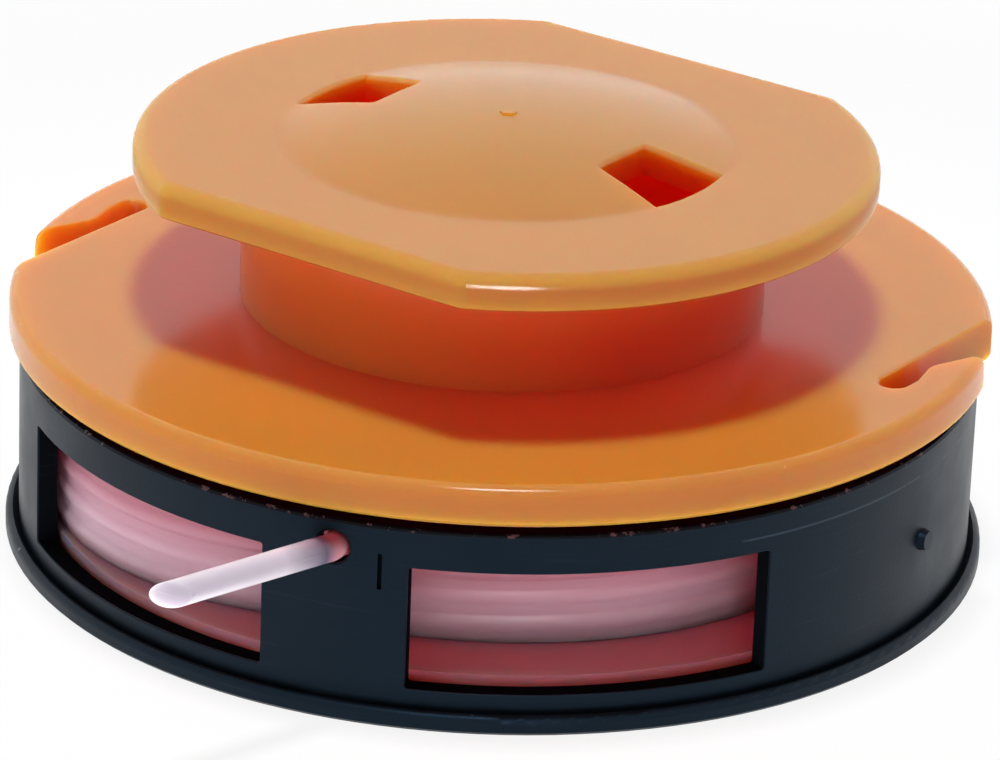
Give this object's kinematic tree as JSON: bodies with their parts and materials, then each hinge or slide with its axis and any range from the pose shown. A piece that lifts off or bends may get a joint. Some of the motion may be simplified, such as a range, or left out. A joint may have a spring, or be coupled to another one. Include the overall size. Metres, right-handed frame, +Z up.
{
  "type": "trimmer line spool",
  "caption": "Cassette for a grass trimmer: flat-sided grip knob on a flanged spool of cutting line, turning in a windowed drum with a side exit for the line.",
  "frame": {"origin": "on the spindle axis, on the plane that the drum's floor stands on", "axes": "+Z up along the spindle axis towards the grip knob; the line exit with the free end faces -Y, 18 degrees towards -X"},
  "size_m": [0.0704, 0.0764, 0.0318],
  "materials": {
    "drum_plastic": "fine moulded grain, satin",
    "spool_plastic": "smooth moulded, slightly translucent",
    "line_nylon": "clear drawn nylon"
  },
  "bodies": {
    "drum": {"drum": "drum_plastic", "line_tail": "line_nylon"},
    "spool": {"spool": "spool_plastic", "line_coil": "line_nylon"}
  },
  "joints": [
    {"name": "spool_turn", "type": "hinge", "parent": "drum", "child": "spool", "pos_m": [0, 0, 0], "axis": [0, 0, 1], "continuous": true}
  ]
}
